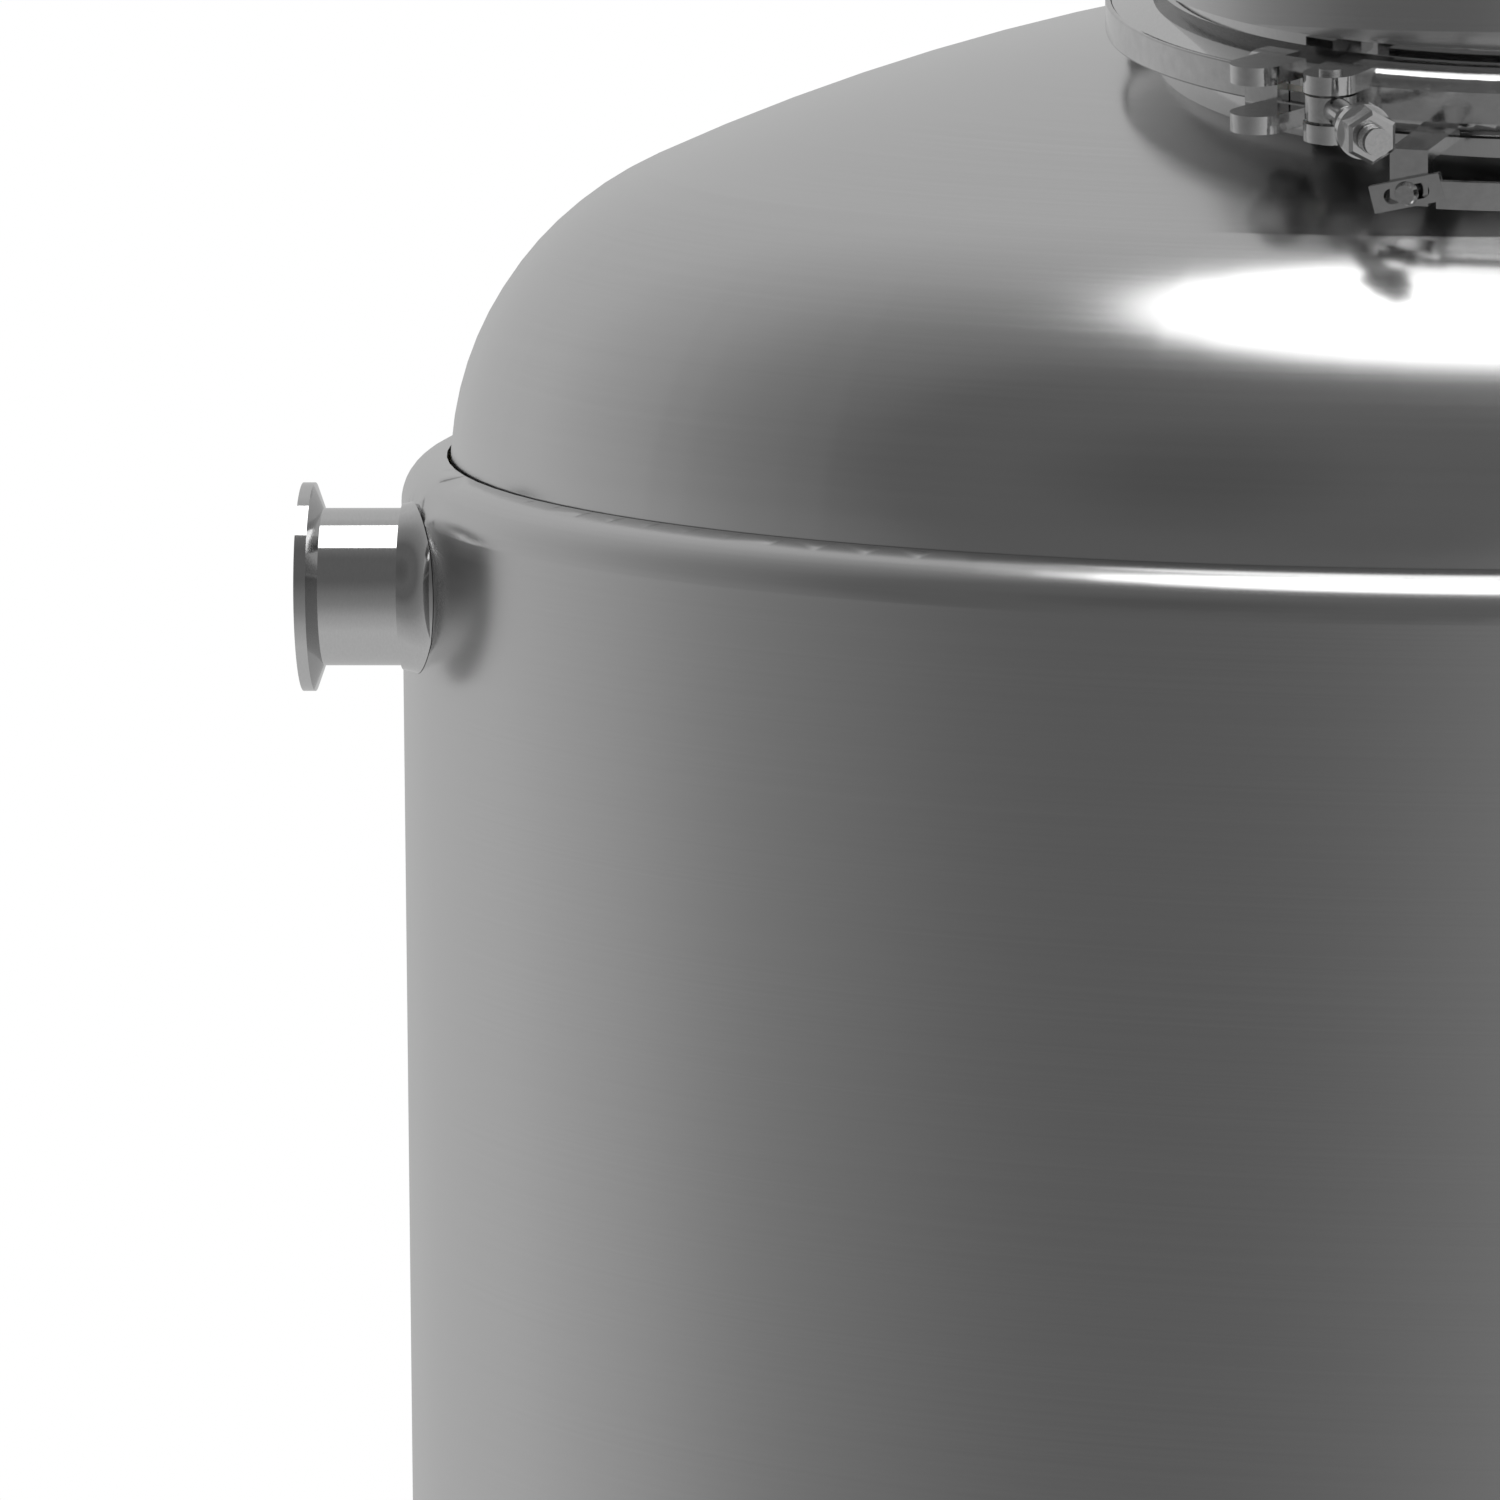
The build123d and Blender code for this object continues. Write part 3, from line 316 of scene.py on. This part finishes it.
# ---------------------------------------------------------------- weld beads and threads
def sweep_group():
    """Geometry Nodes: a round bar swept along an edge path, its thickness rippling along the way."""
    group = bpy.data.node_groups.new("rippled_sweep", "GeometryNodeTree")
    sockets = {}
    for name, kind in (
        ("Path", "NodeSocketGeometry"), ("Thickness", "NodeSocketFloat"), ("Step", "NodeSocketFloat"),
        ("Ripple", "NodeSocketFloat"), ("Depth", "NodeSocketFloat"), ("Sides", "NodeSocketInt"),
        ("Material", "NodeSocketMaterial"),
    ):
        sockets[name] = group.interface.new_socket(name, in_out="INPUT", socket_type=kind).identifier
    group.interface.new_socket("Bead", in_out="OUTPUT", socket_type="NodeSocketGeometry")
    given = add_node(group, "NodeGroupInput").outputs
    path = add_node(group, "GeometryNodeMeshToCurve", {"Mesh": given["Path"]})
    even = add_node(
        group, "GeometryNodeResampleCurve", {"Curve": path.outputs[0], "Length": given["Step"]}, mode="LENGTH"
    )
    along = add_node(group, "GeometryNodeSplineParameter")
    cycles = add_node(
        group, "ShaderNodeMath", {0: along.outputs["Length"], 1: given["Ripple"]}, operation="DIVIDE"
    )
    phase = add_node(group, "ShaderNodeMath", {0: cycles.outputs[0]}, {1: math.tau}, operation="MULTIPLY")
    wave = add_node(group, "ShaderNodeMath", {0: phase.outputs[0]}, operation="SINE")
    swell = add_node(
        group, "ShaderNodeMath", {0: wave.outputs[0], 1: given["Depth"]}, {2: 1.0}, operation="MULTIPLY_ADD"
    )
    shape = add_node(
        group, "GeometryNodeCurvePrimitiveCircle",
        {"Resolution": given["Sides"], "Radius": given["Thickness"]},
    )
    skin = add_node(
        group, "GeometryNodeCurveToMesh",
        {"Curve": even.outputs[0], "Profile Curve": shape.outputs[0], "Scale": swell.outputs[0]},
        {"Fill Caps": True}
    )
    whole = add_node(group, "GeometryNodeRealizeInstances", {"Geometry": skin.outputs[0]})
    coated = add_node(
        group, "GeometryNodeSetMaterial", {"Geometry": whole.outputs[0], "Material": given["Material"]}
    )
    out = add_node(group, "NodeGroupOutput")
    group.links.new(coated.outputs[0], out.inputs["Bead"])
    return group, sockets


sweeps, sweep_sockets = sweep_group()
weld = tig_weld()


def sweep(name, points, body, slot, material, closed=True, **values):
    """Plain mesh swept along points by the node group, riding on a body."""
    count = len(points)
    edges = [(i, (i + 1) % count) for i in range(count if closed else count - 1)]
    path = bpy.data.meshes.new(name)
    path.from_pydata(points, edges, [])
    draft = bpy.data.objects.new(name + "_path", path)
    bpy.context.scene.collection.objects.link(draft)
    modifier = draft.modifiers.new("sweep", "NODES")
    modifier.node_group = sweeps
    for socket, value in {**values, "Material": material}.items():
        modifier[sweep_sockets[socket]] = value
    depsgraph = bpy.context.evaluated_depsgraph_get()
    mesh = bpy.data.meshes.new_from_object(draft.evaluated_get(depsgraph), depsgraph=depsgraph)
    bpy.data.objects.remove(draft)
    bpy.data.meshes.remove(path)
    mesh.name = name
    mesh.polygons.foreach_set("use_smooth", [True] * len(mesh.polygons))
    shape = bmesh.new()
    shape.from_mesh(mesh)
    bmesh.ops.recalc_face_normals(shape, faces=shape.faces)
    shape.to_mesh(mesh)
    shape.free()
    piece = bpy.data.objects.new(name, mesh)
    bpy.context.scene.collection.objects.link(piece)
    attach(piece, body)
    return piece


def ring(centre, axis, radius, count=240):
    """Points round a circle."""
    axis = Vector(axis).normalized()
    side = axis.orthogonal().normalized()
    other = axis.cross(side)
    angles = [math.tau * i / count for i in range(count)]
    return [Vector(centre) + radius * (math.cos(a) * side + math.sin(a) * other) for a in angles]


def helix(start, axis, radius, pitch, length, per_turn=28):
    """Points up a screw thread."""
    axis = Vector(axis).normalized()
    side = axis.orthogonal().normalized()
    other = axis.cross(side)
    points = []
    for i in range(int(length / pitch * per_turn) + 1):
        angle = math.tau * i / per_turn
        rise = axis * (pitch * i / per_turn)
        points.append(Vector(start) + rise + radius * (math.cos(angle) * side + math.sin(angle) * other))
    return points


def weld_bead(name, points, thickness, closed=True):
    """Rippled weld bead on the kettle's own metal."""
    return sweep(
        name, points, "kettle", "satin_steel", weld, closed=closed,
        Thickness=thickness, Step=0.7 * MM, Ripple=2.2 * MM, Depth=0.14, Sides=8,
    )


def screw_thread(name, start, axis, radius, pitch, length, body):
    """Rolled thread ridge round a shank."""
    return sweep(
        name, helix(start, axis, radius - 0.05 * MM, pitch, length), body, "steel_fasteners",
        materials["steel_fasteners"], closed=False,
        Thickness=pitch * 0.2, Step=radius * 0.2, Ripple=1.0, Depth=0.0, Sides=4,
    )


def middle(name):
    """Middle of a node's box."""
    lowest, highest = boxes[name]
    return (lowest + highest) / 2


# Seams of the stack, jacket, drain and legs
stack_low, stack_high = boxes["stack_shell"]
stack_r = (stack_high.x - stack_low.x) / 2
stack_back = stack_high.y
sunk = 0.4 * MM
stack_seam_ends = (boxes["stack_ferrule"][1].z + 2 * MM, stack_high.z - 1 * MM)
weld_bead(
    "stack_seam_weld", [Vector((0, stack_back - sunk, z)) for z in stack_seam_ends],
    1.1 * MM, closed=False,
)
stack_middle = middle("stack_shell")
weld_bead(
    "cone_seam_weld", ring((0, stack_middle.y, stack_high.z), (0, 0, 1), stack_r - sunk), 1.2 * MM,
)
weld_bead(
    "jacket_seam_weld",
    [Vector((0, jacket_r - 0.5 * MM, z)) for z in (jacket_low.z + 2 * MM, jacket_high.z - 26 * MM)],
    1.2 * MM, closed=False,
)
weld_bead("jacket_hem_weld", ring((0, 0, jacket_low.z), (0, 0, 1), jacket_r - 0.9 * MM, 480), 1.1 * MM)

tube_38_r = 19.05 * MM
drain_top = boxes["drain_ferrule"][1].z
weld_bead("drain_weld", ring((0, 0, drain_top - 1.5 * MM), (0, 0, 1), tube_38_r + 0.6 * MM, 96), 1.6 * MM)

leg_tube_r = 21.2 * MM
pad_thickness = 4 * MM
for number in range(1, 5):
    leg_middle = middle(f"leg_{number}")
    pad_under = boxes[f"leg_{number}"][1].z - pad_thickness
    weld_bead(
        f"leg_{number}_weld", ring((leg_middle.x, leg_middle.y, pad_under), (0, 0, 1), leg_tube_r, 96),
        2.2 * MM,
    )
    screw_thread(
        f"foot_{number}_thread", (leg_middle.x, leg_middle.y, 20 * MM), (0, 0, 1), 8 * MM, 2 * MM, 24 * MM,
        f"levelling_foot_{number}",
    )

# Swing bolts: threads either side of their nuts
for clamp, nut, shank_r, before, length in (
    ("neck", "neck_hex_nut", 3.2 * MM, 15 * MM, 24 * MM),
    ("drain", "drain_wing_nut", 3.0 * MM, 12 * MM, 17 * MM),
    ("element", "element_wing_nut", 3.0 * MM, 12 * MM, 17 * MM),
):
    bolt_middle = middle(f"{clamp}_swing_bolt")
    nut_middle = middle(nut)
    outward = Vector(joints[f"{clamp}_nut_turn"]["axis"])
    if outward.dot(nut_middle - bolt_middle) < 0:
        outward = -outward
    screw_thread(
        f"{clamp}_bolt_thread", nut_middle - outward * before, outward, shank_r, 1.0 * MM, length,
        f"{clamp}_bolt",
    )


# ---------------------------------------------------------------- studio
def light_world():
    """White cyclorama seen directly; in reflections a dark bay in front and to the left, pale behind."""
    world = bpy.data.worlds.new("studio")
    bpy.context.scene.world = world
    world.use_nodes = True
    tree = world.node_tree
    bay = Vector((-0.582, -0.694, 0.423))
    direction = add_node(tree, "ShaderNodeTexCoord")
    facing = add_node(
        tree, "ShaderNodeVectorMath", {0: direction.outputs["Generated"]}, {1: bay}, operation="DOT_PRODUCT"
    )
    shade = add_node(tree, "ShaderNodeValToRGB", {"Fac": facing.outputs["Value"]})
    stops = [
        (0.0, 0.55), (0.34, 0.42), (0.56, 0.275), (0.73, 0.205), (0.833, 0.135), (0.947, 0.14), (1.0, 0.105),
    ]
    fill_ramp(shade, stops)
    ray = add_node(tree, "ShaderNodeLightPath")
    ambient = add_node(
        tree, "ShaderNodeMix", {0: ray.outputs["Is Diffuse Ray"], 6: shade.outputs["Color"]},
        {7: linear("#ffffff")}, data_type="RGBA",
    )
    seen = add_node(
        tree, "ShaderNodeMix", {0: ray.outputs["Is Camera Ray"], 6: ambient.outputs[2]},
        {7: linear("#ffffff")}, data_type="RGBA",
    )
    tree.links.new(seen.outputs[2], tree.nodes["Background"].inputs["Color"])


def softbox(name, place, aim, size, power):
    """Oval soft light, of a width and a depth, aimed at a point."""
    data = bpy.data.lights.new(name, "AREA")
    data.shape = "ELLIPSE"
    data.size, data.size_y = size
    data.energy = power
    lamp = bpy.data.objects.new(name, data)
    lamp.location = place
    lamp.rotation_euler = (Vector(aim) - Vector(place)).to_track_quat("-Z", "Y").to_euler()
    bpy.context.scene.collection.objects.link(lamp)
    return lamp


light_world()
softbox("overhead_softbox", (0, -0.27, 3.6), (0, -0.27, 0), (2.75, 2.27), 34)
bpy.context.scene.view_settings.view_transform = "Standard"


def lay_floor():
    """Pale round studio floor under the feet, fading to the white of the cyclorama."""
    mesh = bpy.data.meshes.new("floor")
    shape = bmesh.new()
    bmesh.ops.create_circle(shape, cap_ends=True, segments=96, radius=3.4)
    shape.to_mesh(mesh)
    shape.free()
    floor = bpy.data.objects.new("floor", mesh)
    bpy.context.scene.collection.objects.link(floor)
    material, tree, shader = new_material("pale_floor", Base_Color=linear("#e6e6e4"), Roughness=0.6)
    place = add_node(tree, "ShaderNodeTexCoord")
    radius = add_node(tree, "ShaderNodeVectorMath", {0: place.outputs["Object"]}, operation="LENGTH")
    fade = add_node(
        tree, "ShaderNodeMapRange", {"Value": radius.outputs["Value"]}, {"From Min": 0.9, "From Max": 3.2},
        interpolation_type="SMOOTHSTEP",
    )
    white = add_node(tree, "ShaderNodeEmission", inputs={"Color": linear("#ffffff"), "Strength": 1.0})
    blend = add_node(
        tree, "ShaderNodeMixShader",
        {0: fade.outputs["Result"], 1: shader.outputs[0], 2: white.outputs[0]},
    )
    tree.links.new(blend.outputs[0], tree.nodes["Material Output"].inputs["Surface"])
    mesh.materials.append(material)
    floor.visible_glossy = False


lay_floor()
